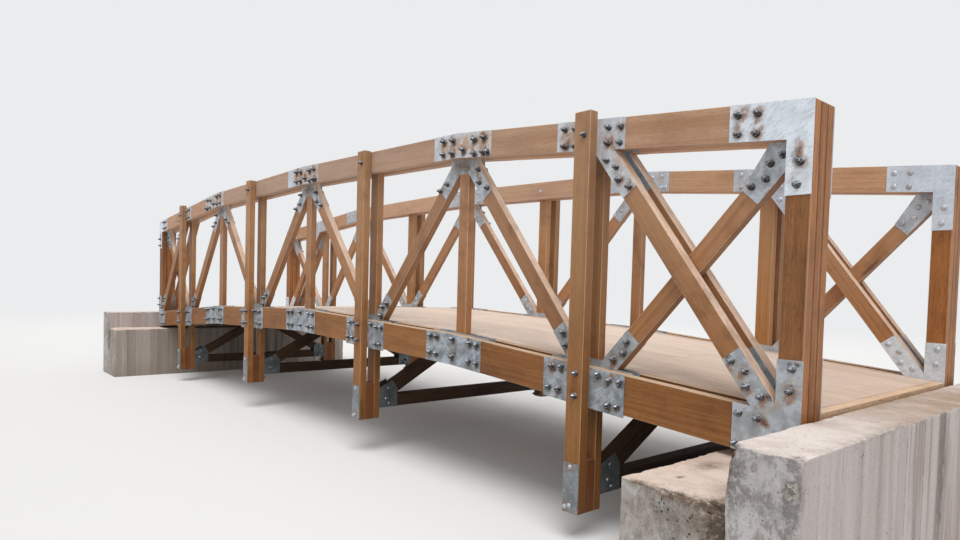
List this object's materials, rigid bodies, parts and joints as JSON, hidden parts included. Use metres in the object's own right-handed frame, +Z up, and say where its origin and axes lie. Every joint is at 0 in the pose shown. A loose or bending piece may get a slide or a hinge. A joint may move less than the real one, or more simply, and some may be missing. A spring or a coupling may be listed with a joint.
{
  "type": "wooden footbridge",
  "caption": "Cambered timber truss footbridge with bolted steel plates, hanging post tails, a plank deck and concrete abutments.",
  "frame": {"origin": "middle of the footprint at mid span, on the ground under the abutments", "axes": "+X along the bridge, +Y across it toward the far truss, +Z up"},
  "size_m": [9.03, 3.188, 2.238],
  "materials": {
    "chord_timber": "planed laminated hardwood, oiled, satin",
    "rail_timber": "planed laminated hardwood, weathered lighter on top",
    "post_timber": "planed laminated hardwood, oiled, satin",
    "web_timber": "planed laminated hardwood, oiled, satin",
    "block_timber": "end block, stained darker by damp",
    "deck_timber": "rain-bleached planks, matt",
    "under_timber": "rough sawn, damp and dark",
    "outer_plate": "hot-dip galvanised, mottled, rust at the bolts",
    "inner_plate": "hot-dip galvanised, mottled",
    "bracket_steel": "galvanised, dull and dirty",
    "bearing_rubber": "matt",
    "concrete": "board-marked cast concrete, stained, worn edges"
  },
  "bodies": {
    "root": {"near_bottom_chord": "chord_timber", "far_bottom_chord": "chord_timber", "near_top_chord": "rail_timber", "far_top_chord": "rail_timber", "near_end_posts": "post_timber", "far_end_posts": "post_timber", "near_outer_posts": "post_timber", "far_outer_posts": "post_timber", "near_centre_posts": "post_timber", "far_centre_posts": "post_timber", "near_mid_posts": "web_timber", "far_mid_posts": "web_timber", "near_tail_spacers": "block_timber", "far_tail_spacers": "block_timber", "near_web_diagonals": "web_timber", "far_web_diagonals": "web_timber", "near_end_braces": "web_timber", "far_end_braces": "web_timber", "near_paired_braces": "web_timber", "far_paired_braces": "web_timber", "near_bottom_plates": "outer_plate", "far_bottom_plates": "outer_plate", "near_top_plates": "outer_plate", "far_top_plates": "outer_plate", "near_corner_plates": "outer_plate", "far_corner_plates": "outer_plate", "near_heel_gussets": "inner_plate", "far_heel_gussets": "inner_plate", "near_apex_gussets": "inner_plate", "far_apex_gussets": "inner_plate", "near_inner_plates": "inner_plate", "far_inner_plates": "inner_plate", "near_tail_plates": "outer_plate", "far_tail_plates": "outer_plate", "end_post_cores": "post_timber", "deck_bays": "deck_timber", "end_boards": "deck_timber", "floor_beams": "under_timber", "joists": "under_timber", "sway_ties": "under_timber", "sway_braces": "under_timber", "sway_brackets": "bracket_steel", "bearing_pads": "bearing_rubber", "abutment_seats": "concrete", "abutment_walls": "concrete"}
  },
  "joints": []
}
